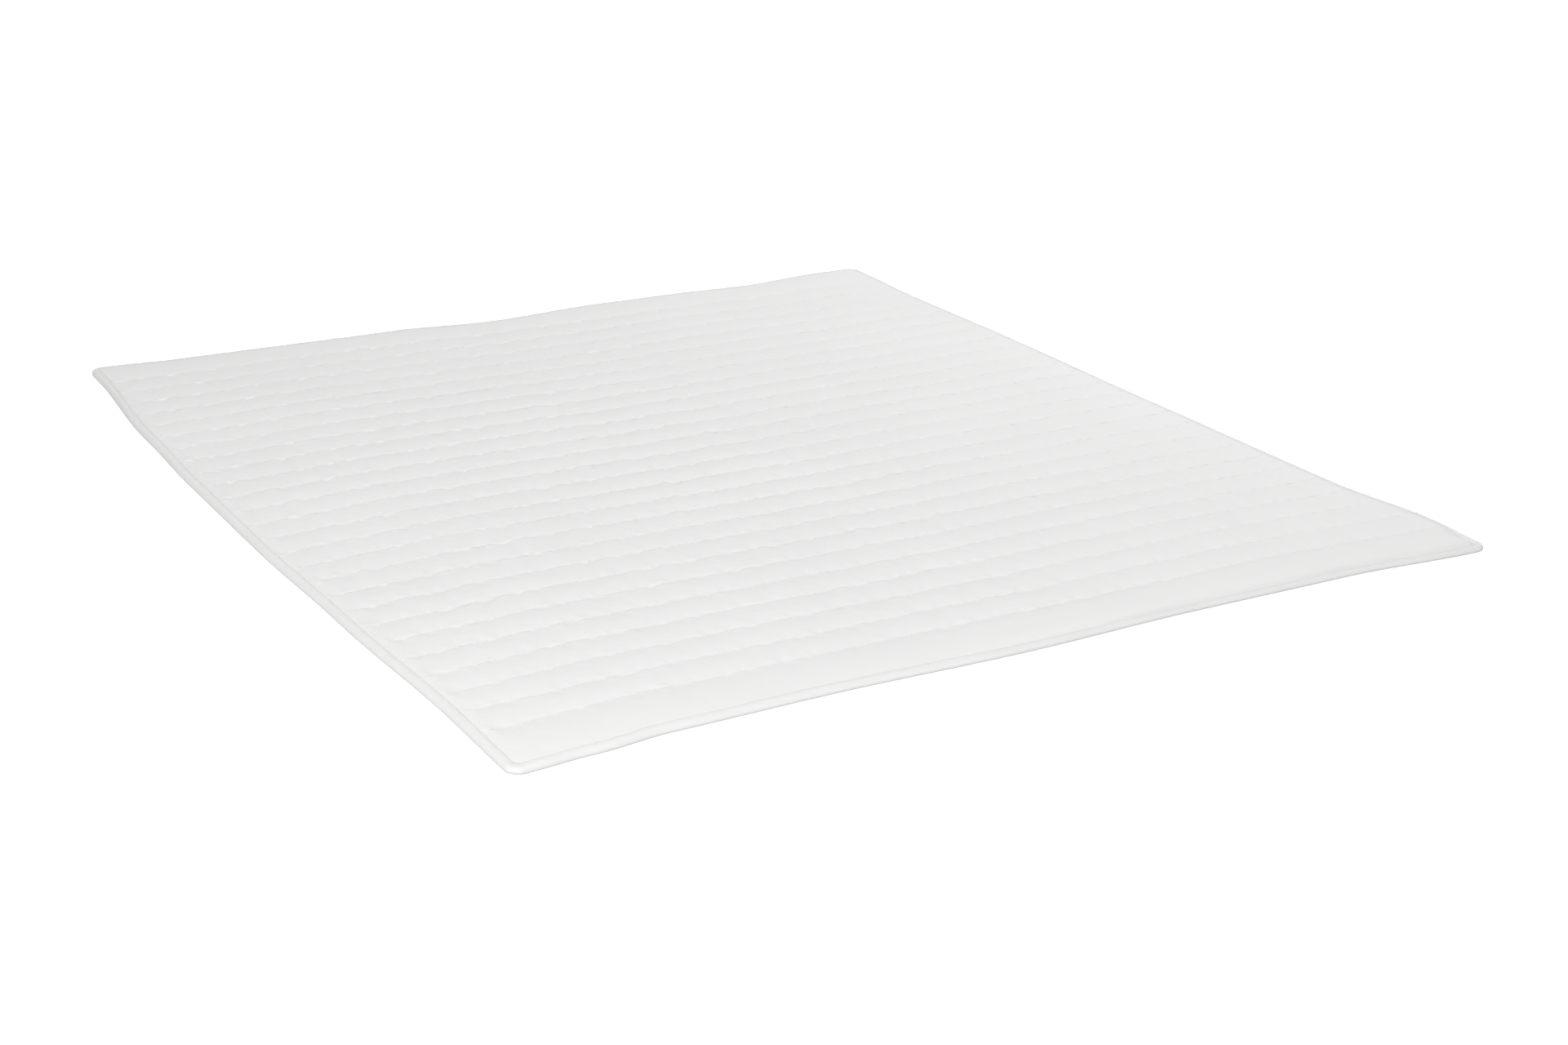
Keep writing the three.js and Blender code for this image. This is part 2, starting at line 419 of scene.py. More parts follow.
class StudioLight(bpy.types.PropertyGroup):
    """The pale floor and the soft light round the pad"""

    room: bpy.props.FloatProperty(
        name="Room light",
        description="Strength of the even light from all round",
        default=0.392,
        min=0.0,
    )
    front_lamp: bpy.props.FloatProperty(
        name="Front lamp",
        description="Power of the soft lamp in front of the left corner",
        default=410.0,
        min=0.0,
        unit="POWER",
    )
    back_lamp: bpy.props.FloatProperty(
        name="Back lamp",
        description="Power of the soft lamp behind the pad",
        default=84.0,
        min=0.0,
        unit="POWER",
    )
    side_lamp: bpy.props.FloatProperty(
        name="Side lamp",
        description="Power of the low lamp beside the right edge",
        default=3.4,
        min=0.0,
        unit="POWER",
    )
    floor_colour: bpy.props.FloatVectorProperty(
        name="Floor",
        description="Colour of the floor",
        default=(0.80, 0.80, 0.80),
        size=3,
        min=0.0,
        max=1.0,
        subtype="COLOR",
    )
    floor_glow: bpy.props.FloatProperty(
        name="Floor glow",
        description="How much brighter than its colour the floor looks",
        default=0.65,
        min=0.0,
    )


def smooth_from(table, position):
    """Values between the rows of a table, with soft turns."""
    places, values = np.array(table).T
    after = np.clip(np.searchsorted(places, position, side="right"), 1, len(places) - 1)
    before = after - 1
    share = (position - places[before]) / (places[after] - places[before])
    share = np.clip(share, 0, 1)
    share = share * share * (3 - 2 * share)
    return values[before] + (values[after] - values[before]) * share


def soft_least(first, second, softness=0.0003):
    """The lower of two heights, with a soft turn from one to the other."""
    gap = np.abs(first - second)
    return np.minimum(first, second) - softness * np.log1p(np.exp(-gap / softness))


def ripple(along, random, shortest, longest, waves=7):
    """A random wave, from about -1 to 1. along holds one run, or one column for each run."""
    total = np.zeros(np.shape(along))
    for length in np.geomspace(shortest, longest, waves):
        turn = random.uniform(0, 2 * np.pi, size=np.shape(along)[1:])
        total += np.sin(2 * np.pi * along / length + turn)
    return total / math.sqrt(waves)


def width_of_tape():
    """The flat width of the binding tape, along its folded section."""
    bends = np.diff(np.array(TAPE_LINE)[:, :2], axis=0)
    return float(np.hypot(*bends.T).sum())


class PadPlan:
    """Where the points of the pad's flat plan lie on the laid-out pad."""

    def __init__(self, sizes):
        self.sizes = sizes
        self.half_width = sizes.width / 2
        self.half_length = sizes.length / 2
        self.corner = sizes.corner_radius
        first = sizes.first_seam - self.half_length
        self.seams = first + sizes.seam_pitch * np.arange(sizes.seam_count)
        self.shift = (0.0, 0.0)
        self.shift = self.centring()

    def centring(self):
        """What brings the middle of the pad's outline to the middle of the solids."""
        x, y = self.swung(*self.along_edge(0.0)[:2])
        middle = (CAD_BOX[0] + CAD_BOX[1]) / 2
        return middle.x - (x.min() + x.max()) / 2, middle.y - (y.min() + y.max()) / 2

    def inset(self, x, y):
        """How far a point is from the nearest edge."""
        return np.minimum(self.half_width - np.abs(x), self.half_length - np.abs(y))

    def rounded(self, x, y):
        """Turns the nested squares of a corner into nested arcs."""
        out_x = np.abs(x) - (self.half_width - self.corner)
        out_y = np.abs(y) - (self.half_length - self.corner)
        in_corner = (out_x > 0) & (out_y > 0)
        shrink = np.maximum(out_x, out_y) / np.maximum(np.hypot(out_x, out_y), 1e-9)
        drawn_in = np.where(in_corner, 1 - shrink, 0)
        return x - np.sign(x) * out_x * drawn_in, y - np.sign(y) * out_y * drawn_in

    def swung(self, x, y):
        """Moves points of the plain, round-cornered plan to where they really lie."""
        right = (x + self.half_width) / (2 * self.half_width)
        back = (y + self.half_length) / (2 * self.half_length)
        swing_x = smooth_from(RIGHT_BOW, y) * right - smooth_from(LEFT_BOW, y) * (1 - right)
        swing_y = smooth_from(BACK_BOW, x) * back - smooth_from(FRONT_BOW, x) * (1 - back)
        places, near, far = np.array(SEAM_SWAY).T
        near_sway = smooth_from(np.stack([places, near], 1), x)
        far_sway = smooth_from(np.stack([places, far], 1), x)
        sway = near_sway + (far_sway - near_sway) * np.clip(back / FAR_SWAY_FROM, 0, 1)
        rim = self.half_length - SWAY_ENDS
        sway *= np.clip((y + rim) / (self.seams[0] + rim), 0, 1)
        sway *= np.clip((rim - y) / (rim - self.seams[-1]), 0, 1)
        return x + swing_x + self.shift[0], y + swing_y + sway + self.shift[1]

    def along_edge(self, inset):
        """Points all round at an inset from the edge, and the run of each along the edge."""
        reach_x = self.half_width - self.corner
        reach_y = self.half_length - self.corner
        radius = self.corner - inset
        arc = self.corner * math.pi / 2
        turns = np.arange(CORNER_STEPS) * (math.pi / 2 / CORNER_STEPS)
        x = []
        y = []
        run = []
        begun = 0.0
        for side, (end, out) in enumerate(((reach_x, reach_y), (reach_y, reach_x)) * 2):
            start = math.pi / 2 * (side - 1)
            outward = Vector((round(math.cos(start)), round(math.sin(start))))
            forward = Vector((-outward.y, outward.x))
            steps = round(2 * end / TAPE_STEP)
            along = np.linspace(-end, end, steps, endpoint=False)
            x.append(outward.x * (out + radius) + forward.x * along)
            y.append(outward.y * (out + radius) + forward.y * along)
            x.append(outward.x * out + forward.x * end + radius * np.cos(start + turns))
            y.append(outward.y * out + forward.y * end + radius * np.sin(start + turns))
            run.append(begun + np.arange(steps) * (2 * end / steps))
            begun += 2 * end
            run.append(begun + np.arange(CORNER_STEPS) * (arc / CORNER_STEPS))
            begun += arc
        return np.concatenate(x), np.concatenate(y), np.concatenate(run)

    def nearest_seam(self, y):
        """The number of the seam nearest to each row."""
        number = np.rint((y - self.seams[0]) / self.sizes.seam_pitch).astype(int)
        return np.clip(number, 0, len(self.seams) - 1)

    def from_seam(self, y):
        """From 0 on a seam to 1 in the middle of a channel."""
        away = np.abs(y - self.seams[self.nearest_seam(y)])
        return np.minimum(1, away / (self.sizes.seam_pitch / 2))

    def laid_out(self, x, y, random):
        """Where points of the plan's rectangle lie, with seams that wander a little."""
        seam = self.nearest_seam(y)
        turns = random.uniform(0, 2 * np.pi, size=(2, len(self.seams)))
        wander = sum(
            np.sin(x / wave + turn[seam]) for wave, turn in zip(NEEDLE_WAVES, turns)
        )
        strayed = y + NEEDLE_WANDER / 2 * wander * (1 - self.from_seam(y))
        inside = self.inset(x, y) > RIM_ENDS
        return self.swung(*self.rounded(x, np.where(inside, strayed, y)))

    def grooved(self, x, y):
        """How much of the groove the nearest edge has, from 0 to 1."""
        in_x = self.half_width - np.abs(x)
        in_y = self.half_length - np.abs(y)
        along_front = np.where(y < 0, smooth_from(FRONT_GROOVE, x), 0)
        along_right = np.where(x > 0, smooth_from(RIGHT_GROOVE, y), 0)
        return np.where(in_y < in_x, along_front, along_right)

    def face_height(self, x, y):
        """Height of the face cloth before it swells."""
        sizes = self.sizes
        across, up, slowly_up = CROWN_WAVES
        uneven = CROWN_UNEVENNESS * np.sin(x / across + y / up)
        crown = sizes.crown_top + uneven * np.sin(y / slowly_up - CROWN_TURN)
        from_seam = self.from_seam(y)
        away = from_seam * sizes.seam_pitch / 2
        depth = (crown - sizes.seam_top) * (1 - from_seam) ** 2
        depth += CREASE_DEPTH * np.exp(-((away / CREASE_REACH) ** 2))
        ends = ((SEAMS_END, LEAST_DEPTH), (SEAMS_FLATTEN, 1.0))
        depth *= smooth_from(ends, self.half_width - np.abs(x))
        quilted = crown - depth * smooth_from(DRAWN_DOWN, x) * smooth_from(DRAWN_UP_THE_PAD, y)
        insets, _, soft, grooved = np.array(RIM).T
        insets = np.append(insets, RIM_ENDS + RIM_FADES)
        full = sizes.crown_top + CROWN_UNEVENNESS
        inset = self.inset(x, y)
        soft_rim = np.interp(inset, insets, np.append(soft, full))
        grooved_rim = np.interp(inset, insets, np.append(grooved, full))
        rim = soft_rim + (grooved_rim - soft_rim) * self.grooved(x, y)
        return soft_least(quilted, rim)

    def backing_height(self, x, y, random):
        """Height of the backing: on the floor, drawn up a little by each seam."""
        seam = self.nearest_seam(y)
        turns = random.uniform(0, 2 * np.pi, size=(2, len(self.seams)))
        pucker = sum(
            np.sin(x / wave + turn[seam]) for wave, turn in zip(BACKING_WAVES, turns)
        )
        near = np.clip(1 - self.from_seam(y) / BACKING_DRAWN, 0, 1)
        drawn_up = self.sizes.seam_under * near * near * (3 - 2 * near)
        puckered = drawn_up * (1 + BACKING_PUCKER * pucker * 4 * near * (1 - near))
        insets, unders = np.array(RIM).T[:2]
        return np.maximum(puckered, np.interp(self.inset(x, y), insets, unders))


def deselect_all():
    """Leaves edit mode and lets go of every object."""
    if bpy.context.mode != "OBJECT":
        bpy.ops.object.mode_set(mode="OBJECT")
    bpy.ops.object.select_all(action="DESELECT")


def take(piece):
    """Makes a piece the only one that is selected and active."""
    deselect_all()
    piece.select_set(True)
    bpy.context.view_layer.objects.active = piece


def name_piece(piece, name):
    """Gives an object and its mesh one name."""
    piece.name = name
    piece.data.name = name


def spots_of(mesh):
    """Places of a mesh's points."""
    spots = np.empty(len(mesh.vertices) * 3, np.float32)
    mesh.vertices.foreach_get("co", spots)
    return spots.reshape(-1, 3)


def move_spots(mesh, spots):
    """Moves a mesh's points to these places."""
    mesh.vertices.foreach_set("co", np.asarray(spots, np.float32).ravel())
    mesh.update()


def read_marks(mesh, name):
    """Whole numbers that a mesh's points carry under a name."""
    marks = np.empty(len(mesh.vertices), np.int32)
    mesh.attributes[name].data.foreach_get("value", marks)
    return marks


def write_marks(mesh, name, marks):
    """Gives each point of a mesh a whole number under a name."""
    attribute = mesh.attributes.get(name) or mesh.attributes.new(name, "INT", "POINT")
    attribute.data.foreach_set("value", np.asarray(marks, np.int32))


def edge_ends(mesh):
    """The two points of each edge."""
    ends = np.empty(len(mesh.edges) * 2, np.int32)
    mesh.edges.foreach_get("vertices", ends)
    return ends.reshape(-1, 2)


def edit_edges(piece, wanted):
    """Opens a piece in edit mode with these edges selected and nothing else."""
    take(piece)
    bpy.ops.object.mode_set(mode="EDIT")
    bpy.ops.mesh.select_mode(type="EDGE")
    bpy.ops.mesh.select_all(action="DESELECT")
    bpy.ops.object.mode_set(mode="OBJECT")
    piece.data.edges.foreach_set("select", wanted)
    bpy.ops.object.mode_set(mode="EDIT")


def lift_off_line(piece, wanted, name):
    """Copies some edges of a piece as a line for the thread to follow."""
    edit_edges(piece, wanted)
    bpy.ops.mesh.duplicate()
    bpy.ops.mesh.separate(type="SELECTED")
    bpy.ops.object.mode_set(mode="OBJECT")
    line = next(other for other in bpy.context.selected_objects if other != piece)
    name_piece(line, name)
    line.hide_render = True
    return line


def marked_grid(across, along):
    """A grid primitive whose points know their column and row."""
    deselect_all()
    bpy.ops.mesh.primitive_grid_add(x_subdivisions=across, y_subdivisions=along, size=1)
    grid = bpy.context.object
    spots = spots_of(grid.data)
    write_marks(grid.data, "column", np.rint((spots[:, 0] + 0.5) * across))
    write_marks(grid.data, "row", np.rint((spots[:, 1] + 0.5) * along))
    return grid


def recalculate_normals(piece):
    """Turns every face outwards."""
    take(piece)
    bpy.ops.object.mode_set(mode="EDIT")
    bpy.ops.mesh.select_all(action="SELECT")
    bpy.ops.mesh.normals_make_consistent(inside=False)
    bpy.ops.object.mode_set(mode="OBJECT")


def finish_piece(piece, material):
    """Gives a finished piece its material and its place on the part."""
    take(piece)
    bpy.ops.object.shade_smooth()
    for helper in HELPERS:
        if helper in piece.data.attributes:
            piece.data.attributes.remove(piece.data.attributes[helper])
    piece.vertex_groups.clear()
    piece.data.materials.clear()
    piece.data.materials.append(material)
    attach(piece, "root")


def add_node(tree, kind, inputs=(), **settings):
    """Adds a node. inputs holds a value or another node's output for each socket."""
    node = tree.nodes.new(kind)
    for name, value in settings.items():
        setattr(node, name, value)
    for socket, value in dict(inputs).items():
        if isinstance(value, bpy.types.NodeSocket):
            tree.links.new(value, node.inputs[socket])
        else:
            node.inputs[socket].default_value = value
    return node


def new_material(name):
    """An empty node material, and its node tree."""
    material = bpy.data.materials.new(name)
    material.use_nodes = True
    material.node_tree.nodes.clear()
    return material, material.node_tree


def maths(tree, operation, *values):
    """The output of one step of arithmetic."""
    node = add_node(tree, "ShaderNodeMath", enumerate(values), operation=operation)
    return node.outputs[0]


def noise(tree, place, scale, detail=2.0, roughness=0.5):
    """The grey output of a noise texture."""
    inputs = {"Vector": place, "Scale": scale, "Detail": detail, "Roughness": roughness}
    return add_node(tree, "ShaderNodeTexNoise", inputs).outputs["Fac"]


def spread(tree, value, lowest, highest):
    """A value from 0.3 to 0.7, as noise mostly is, spread between two others."""
    inputs = {"Value": value, 1: 0.3, 2: 0.7, 3: lowest, 4: highest}
    return add_node(tree, "ShaderNodeMapRange", inputs).outputs["Result"]


def mottled(tree, colour, shade):
    """A colour made a little lighter and darker by a grey value near 1."""
    node = add_node(tree, "ShaderNodeVectorMath", {0: colour, 1: shade}, operation="MULTIPLY")
    return node.outputs["Vector"]


def bump(tree, height, distance, strength=1.0, normal=None):
    """A normal raised by a height, on top of another bump."""
    inputs = {"Height": height, "Distance": distance, "Strength": strength}
    if normal is not None:
        inputs["Normal"] = normal
    return add_node(tree, "ShaderNodeBump", inputs).outputs["Normal"]


def cloth_shader(tree, colour, roughness, normal, sheen, sheen_roughness):
    """A soft, dull shader with the short fibres' sheen, joined to the output."""
    inputs = {
        "Base Color": colour,
        "Roughness": roughness,
        "Normal": normal,
        "Sheen Weight": sheen,
        "Sheen Roughness": sheen_roughness,
        "Specular IOR Level": 0.25,
    }
    shader = add_node(tree, "ShaderNodeBsdfPrincipled", inputs)
    add_node(tree, "ShaderNodeOutputMaterial", {"Surface": shader.outputs["BSDF"]})


def brushed_cotton(colour):
    """White cotton in a fine plain weave, with a brushed nap and a little lint."""
    material, tree = new_material("brushed_cotton")
    place = add_node(tree, "ShaderNodeTexCoord").outputs["Object"]
    uneven_yarn = add_node(
        tree,
        "ShaderNodeTexNoise",
        {"Vector": place, "Scale": 260.0, "Detail": 1.0},
    ).outputs["Color"]
    strayed = add_node(
        tree,
        "ShaderNodeVectorMath",
        {0: uneven_yarn, 1: (0.0005, 0.0005, 0.0005), 2: place},
        operation="MULTIPLY_ADD",
    ).outputs["Vector"]
    parts = add_node(tree, "ShaderNodeSeparateXYZ", {"Vector": strayed}).outputs
    turns_per_metre = 2 * math.pi / YARN_PITCH
    warp = maths(tree, "SINE", maths(tree, "MULTIPLY", parts["X"], turns_per_metre))
    weft = maths(tree, "SINE", maths(tree, "MULTIPLY", parts["Y"], turns_per_metre))
    weave = maths(tree, "MULTIPLY", warp, weft)
    nap = noise(tree, place, 340.0, detail=3.0, roughness=0.6)
    soft_lumps = noise(tree, place, 55.0, detail=2.0)
    broad = noise(tree, place, 3.2, detail=3.0)
    shade = maths(
        tree,
        "MULTIPLY",
        spread(tree, broad, 0.988, 1.006),
        spread(tree, nap, 0.990, 1.004),
    )
    in_the_weave = maths(tree, "MULTIPLY_ADD", weave, 0.006, 0.994)
    shade = maths(tree, "MULTIPLY", shade, in_the_weave)
    normal = bump(tree, soft_lumps, 0.0012, 0.5)
    normal = bump(tree, nap, 0.0004, 0.5, normal)
    normal = bump(tree, weave, 0.00006, 0.6, normal)
    roughness = spread(tree, nap, 0.86, 0.96)
    colour = mottled(tree, tuple(colour), shade)
    cloth_shader(tree, colour, roughness, normal, sheen=0.10, sheen_roughness=0.45)
    return material


def twilled_tape(colour, run_length, tape_width):
    """White cotton tape, with fine slanting ribs that follow the tape round the pad."""
    material, tree = new_material("twilled_tape")
    place = add_node(tree, "ShaderNodeTexCoord").outputs
    run = add_node(
        tree,
        "ShaderNodeMapping",
        {"Vector": place["UV"], "Scale": (run_length, tape_width, 1.0)},
    ).outputs["Vector"]
    parts = add_node(tree, "ShaderNodeSeparateXYZ", {"Vector": run}).outputs
    slant = maths(tree, "ADD", parts["X"], parts["Y"])
    turns_per_metre = 2 * math.pi / RIB_PITCH
    ribs = maths(tree, "SINE", maths(tree, "MULTIPLY", slant, turns_per_metre))
    crossing = maths(tree, "SUBTRACT", parts["X"], parts["Y"])
    yarns = maths(tree, "SINE", maths(tree, "MULTIPLY", crossing, turns_per_metre * 2))
    weave = maths(tree, "MULTIPLY_ADD", yarns, 0.3, ribs)
    nap = noise(tree, place["Object"], 300.0, detail=3.0, roughness=0.6)
    broad = noise(tree, place["Object"], 9.0, detail=2.0)
    shade = maths(
        tree,
        "MULTIPLY",
        spread(tree, broad, 0.985, 1.004),
        spread(tree, nap, 0.985, 1.004),
    )
    normal = bump(tree, nap, 0.0003, 0.5)
    normal = bump(tree, weave, 0.00008, 0.6, normal)
    roughness = spread(tree, nap, 0.78, 0.90)
    colour = mottled(tree, tuple(colour), shade)
    cloth_shader(tree, colour, roughness, normal, sheen=0.06, sheen_roughness=0.4)
    return material


def spun_thread(colour):
    """White sewing thread with a soft shine and a slight unevenness."""
    material, tree = new_material("spun_thread")
    place = add_node(tree, "ShaderNodeTexCoord").outputs["Object"]
    fibres = noise(tree, place, 900.0, detail=2.0)
    shade = spread(tree, fibres, 0.965, 1.0)
    normal = bump(tree, fibres, 0.0001, 0.4)
    roughness = spread(tree, fibres, 0.50, 0.66)
    colour = mottled(tree, tuple(colour), shade)
    cloth_shader(tree, colour, roughness, normal, sheen=0.05, sheen_roughness=0.35)
    return material


def pale_floor(colour, glow):
    """A plain floor that looks white in the picture and lights the pad as a floor does."""
    material, tree = new_material("pale_floor")
    diffuse = add_node(tree, "ShaderNodeBsdfDiffuse", {"Color": (*colour, 1.0)})
    seen = add_node(tree, "ShaderNodeLightPath").outputs["Is Camera Ray"]
    strength = maths(tree, "MULTIPLY", seen, glow)
    shine = add_node(tree, "ShaderNodeEmission", {"Strength": strength})
    both = add_node(
        tree,
        "ShaderNodeAddShader",
        {0: diffuse.outputs["BSDF"], 1: shine.outputs["Emission"]},
    )
    add_node(tree, "ShaderNodeOutputMaterial", {"Surface": both.outputs["Shader"]})
    return material


def panel_columns(plan):
    """Places of the panel's columns, from the left side to the right side."""
    insets = [row[0] for row in RIM]
    inner = plan.half_width - insets[-1]
    steps = round(2 * inner / COLUMN_STEP)
    middle = np.linspace(-inner, inner, steps + 1)[1:-1]
    left = np.array(insets) - plan.half_width
    return np.concatenate([left, middle, -left[::-1]])


def panel_rows(plan):
    """Places of the panel's rows, from the front edge to the back edge."""
    insets = np.array([row[0] for row in RIM])
    pitch = plan.sizes.seam_pitch
    shares = np.array(CHANNEL_ROWS)
    near = shares[shares < 0.5] * pitch
    channels = [seam + pitch * np.append(0, shares) for seam in plan.seams[:-1]]
    first = plan.seams[0]
    last = plan.seams[-1]
    front = insets - plan.half_length
    back = plan.half_length - insets[::-1]
    front_steps = round((first - near[-1] - front[-1]) / BAND_STEP)
    back_steps = max(1, round((back[0] - last - near[-1]) / BAND_STEP))
    front_band = np.linspace(front[-1], first - near[-1], front_steps + 1)[1:-1]
    back_band = np.linspace(last + near[-1], back[0], back_steps + 1)[1:-1]
    return np.concatenate(
        [
            front,
            front_band,
            first - near[::-1],
            *channels,
            [last],
            last + near,
            back_band,
            back,
        ]
    )


def puffs(plan, x, y, random):
    """Heights of the fuller places along both sides of each seam."""
    seam = plan.nearest_seam(y)
    side_of_seam = 2 * seam + (y > plan.seams[seam])
    waves = np.zeros_like(x)
    for number in range(side_of_seam.max() + 1):
        there = side_of_seam == number
        waves[there] = ripple(x[there], random, *PUFF_LENGTHS)
    away = plan.from_seam(y)
    shown = np.clip(away / PUFFS_FROM, 0, 1) * np.clip(1 - away / PUFFS_END, 0, 1)
    shown *= np.clip((plan.inset(x, y) - HELD_BY_TAPE) / PUFFS_INSET, 0, 1)
    shown *= smooth_from(DRAWN_DOWN, x) * smooth_from(PUCKERED, y)
    return PUFF_HEIGHT * waves * shown


def swell(piece, plan, x, y, swelling):
    """Lets the wadding and the needle shape the face cloth, then applies the result."""
    insets = plan.inset(x, y)
    away = plan.from_seam(y)
    held = piece.vertex_groups.new(name="held")
    fixed = np.flatnonzero((away < ON_LINE) | (insets < HELD_BY_TAPE))
    held.add(fixed.tolist(), 1.0, "REPLACE")
    plain = piece.vertex_groups.new(name="plain")
    row = read_marks(piece.data, "row")
    for number in range(row.max() + 1):
        points = np.flatnonzero(row == number)
        puckered = max(0.0, 1 - float(away[points[0]]) / swelling.ease_reach)
        puckered *= float(smooth_from(PUCKERED, y[points[0]]))
        plain.add(points.tolist(), 1 - puckered, "REPLACE")
    cloth = piece.modifiers.new("Swelling", "CLOTH")
    cloth.collision_settings.use_collision = False
    settings = cloth.settings
    settings.quality = 4
    settings.mass = 0.3
    settings.tension_stiffness = 15
    settings.compression_stiffness = 15
    settings.shear_stiffness = 5
    settings.bending_stiffness = swelling.stiffness
    settings.tension_damping = 10
    settings.compression_damping = 10
    settings.shear_damping = 10
    settings.bending_damping = 0.5
    settings.air_damping = 2
    settings.vertex_group_mass = "held"
    settings.vertex_group_shrink = "plain"
    settings.shrink_min = -swelling.ease
    settings.shrink_max = 0
    settings.use_pressure = True
    settings.uniform_pressure_force = swelling.pressure
    settings.effector_weights.gravity = 0
    start = spots_of(piece.data)
    for step in range(1, swelling.steps + 1):
        bpy.context.scene.frame_set(step)
    take(piece)
    bpy.ops.object.modifier_apply(modifier="Swelling")
    bpy.context.scene.frame_set(1)
    moved = spots_of(piece.data) - start
    most = swelling.most_rise
    move_spots(piece.data, start + most * np.tanh(moved / most))


def add_backing(piece, plan, x, y, random):
    """Extrudes the face cloth into a closed pad, whose flat backing has fewer faces."""
    take(piece)
    bpy.ops.object.mode_set(mode="EDIT")
    bpy.ops.mesh.select_mode(type="VERT")
    bpy.ops.mesh.select_all(action="SELECT")
    bpy.ops.mesh.extrude_region_move()
    bpy.ops.object.mode_set(mode="OBJECT")
    mesh = piece.data
    backing = np.empty(len(mesh.vertices), bool)
    mesh.vertices.foreach_get("select", backing)
    write_marks(mesh, "backing", backing)
    spots = spots_of(mesh)
    laid_x, laid_y = plan.laid_out(x, y, random)
    height = plan.backing_height(x, y, random)
    column = read_marks(mesh, "column")
    row = read_marks(mesh, "row")
    order = np.empty((row.max() + 1, column.max() + 1), int)
    order[row[~backing], column[~backing]] = np.flatnonzero(~backing)
    source = order[row[backing], column[backing]]
    spots[backing] = np.stack([laid_x, laid_y, height], 1)[source]
    move_spots(mesh, spots)
    ends = edge_ends(mesh)
    first_end, other_end = ends.T
    in_side_rim = (column < len(RIM)) | (column > column.max() - len(RIM))
    spare_column = (column % 2 == 1) & ~in_side_rim
    places = panel_rows(plan)[row]
    in_end_rim = plan.half_length - np.abs(places) < RIM_ENDS + ON_LINE
    spare_row = (plan.from_seam(places) > BACKING_FLAT) & ~in_end_rim
    spare = spare_column[first_end] & (column[first_end] == column[other_end])
    spare |= spare_row[first_end] & (row[first_end] == row[other_end])
    edit_edges(piece, spare & backing[ends].all(1))
    bpy.ops.mesh.dissolve_edges(use_verts=True)
    bpy.ops.object.mode_set(mode="OBJECT")


def seam_lines(piece, plan, on_backing, name):
    """The needle's lines on one face of the panel, between the two sides' bindings."""
    mesh = piece.data
    ends = edge_ends(mesh)
    row = read_marks(mesh, "row")
    column = read_marks(mesh, "column")
    places = panel_rows(plan)[row]
    sideways = plan.half_width - np.abs(panel_columns(plan)[column])
    sewn = (plan.from_seam(places) < ON_LINE) & (sideways > SEAMS_END)
    sewn &= read_marks(mesh, "backing") == on_backing
    along = row[ends[:, 0]] == row[ends[:, 1]]
    return lift_off_line(piece, sewn[ends].all(1) & along, name)


class PAD_OT_quilted_panel(bpy.types.Operator):
    """Makes the quilted panel: face cloth swollen over its wadding, closed by a backing"""

    bl_idname = "mattress_pad.quilted_panel"
    bl_label = "Quilted panel"

    def execute(self, context):
        scene = context.scene
        plan = PadPlan(scene.pad_sizes)
        random = np.random.default_rng(SEED)
        columns = panel_columns(plan)
        rows = panel_rows(plan)
        piece = marked_grid(len(columns) - 1, len(rows) - 1)
        name_piece(piece, "panel")
        x = columns[read_marks(piece.data, "column")]
        y = rows[read_marks(piece.data, "row")]
        laid_x, laid_y = plan.laid_out(x, y, random)
        height = plan.face_height(x, y) + puffs(plan, x, y, random)
        move_spots(piece.data, np.stack([laid_x, laid_y, height], 1))
        swell(piece, plan, x, y, scene.pad_swelling)
        add_backing(piece, plan, x, y, np.random.default_rng(SEED))
        recalculate_normals(piece)
        seam_lines(piece, plan, False, "face_seam_lines")
        seam_lines(piece, plan, True, "backing_seam_lines")
        finish_piece(piece, brushed_cotton(scene.pad_colours.cotton))
        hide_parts("quilted_panel")
        return {"FINISHED"}


